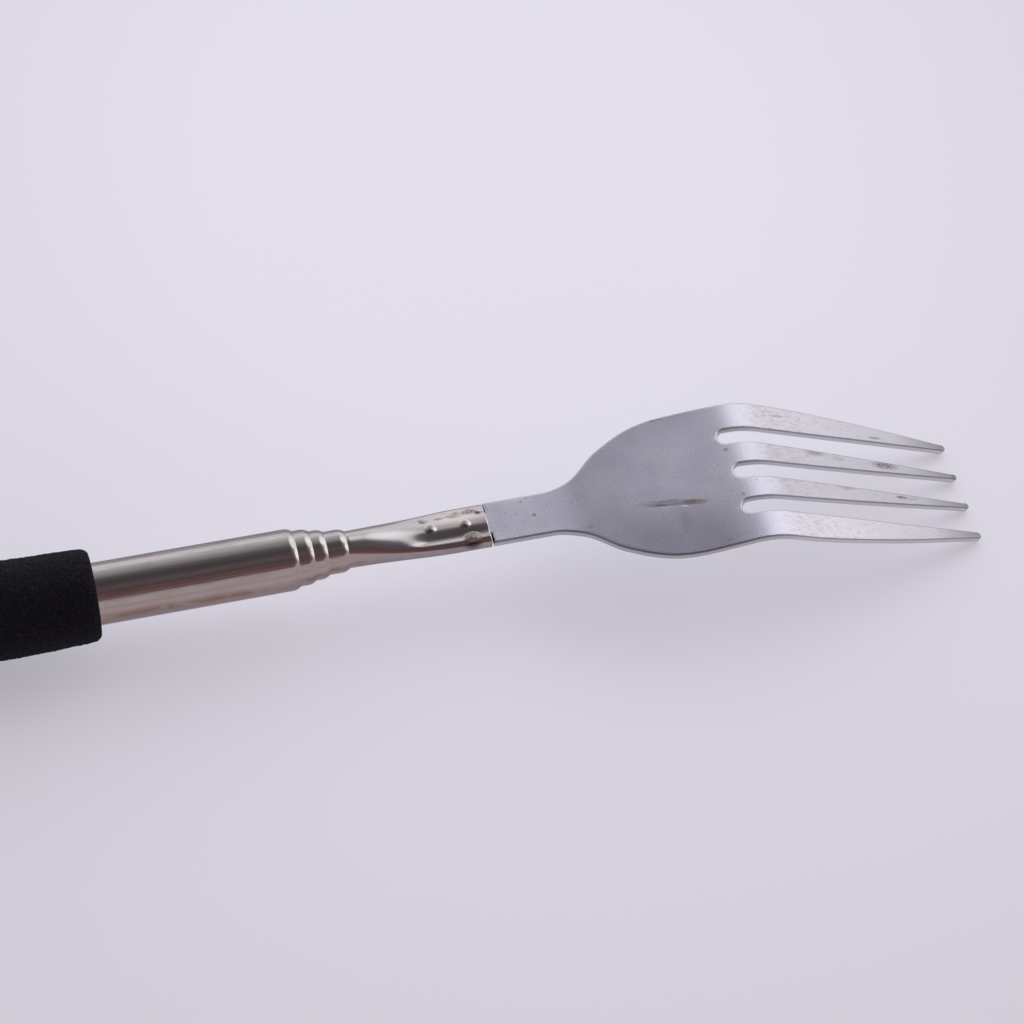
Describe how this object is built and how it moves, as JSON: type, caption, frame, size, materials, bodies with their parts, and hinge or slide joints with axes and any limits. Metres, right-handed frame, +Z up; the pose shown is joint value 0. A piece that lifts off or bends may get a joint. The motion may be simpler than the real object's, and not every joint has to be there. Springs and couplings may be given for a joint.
{
  "type": "roasting fork",
  "caption": "Telescopic roasting fork: a foam grip on nested steel tubes that pull out, ending in a bent fork with tapering tines.",
  "frame": {"origin": "on the surface it rests on, under the middle of its length, fork closed up", "axes": "+X towards the tine tips, +Z up, Y across the tines; the tubes' axis rises 2.06 degrees towards +X"},
  "size_m": [0.2372, 0.0276, 0.0186],
  "materials": {
    "foam": "matt closed-cell foam",
    "plug": "moulded black plastic",
    "tube_steel": "drawn and polished stainless steel",
    "fork_steel": "tumbled matt stainless steel",
    "shim_brass": "bright strip"
  },
  "bodies": {
    "handle": {"outer_tube": "tube_steel", "foam_grip": "foam", "end_plug": "plug"},
    "shims_2": {"shim_2_upper": "shim_brass", "shim_2_lower": "shim_brass"},
    "tube_2": {"tube_2": "tube_steel"},
    "shims_3": {"shim_3_upper": "shim_brass", "shim_3_lower": "shim_brass"},
    "tube_3": {"tube_3": "tube_steel"},
    "shims_4": {"shim_4_upper": "shim_brass", "shim_4_lower": "shim_brass"},
    "tube_4": {"tube_4": "tube_steel"},
    "shims_5": {"shim_5_upper": "shim_brass", "shim_5_lower": "shim_brass"},
    "fork_end": {"inner_tube": "tube_steel", "fork_head": "fork_steel"}
  },
  "joints": [
    {"name": "slide_2", "type": "slide", "parent": "handle", "child": "shims_2", "axis": [0.9994, 0, 0.036], "range_m": [0, 0.094]},
    {"name": "spin_2", "type": "hinge", "parent": "shims_2", "child": "tube_2", "pos_m": [-0.11581, 0, 0.00814], "axis": [0.9994, 0, 0.036], "continuous": true},
    {"name": "slide_3", "type": "slide", "parent": "tube_2", "child": "shims_3", "axis": [0.9994, 0, 0.036], "range_m": [0, 0.0966]},
    {"name": "spin_3", "type": "hinge", "parent": "shims_3", "child": "tube_3", "pos_m": [-0.11581, 0, 0.00814], "axis": [0.9994, 0, 0.036], "continuous": true},
    {"name": "slide_4", "type": "slide", "parent": "tube_3", "child": "shims_4", "axis": [0.9994, 0, 0.036], "range_m": [0, 0.0989]},
    {"name": "spin_4", "type": "hinge", "parent": "shims_4", "child": "tube_4", "pos_m": [-0.11581, 0, 0.00814], "axis": [0.9994, 0, 0.036], "continuous": true},
    {"name": "slide_5", "type": "slide", "parent": "tube_4", "child": "shims_5", "axis": [0.9994, 0, 0.036], "range_m": [0, 0.1023]},
    {"name": "spin_5", "type": "hinge", "parent": "shims_5", "child": "fork_end", "pos_m": [-0.11581, 0, 0.00814], "axis": [0.9994, 0, 0.036], "continuous": true}
  ]
}
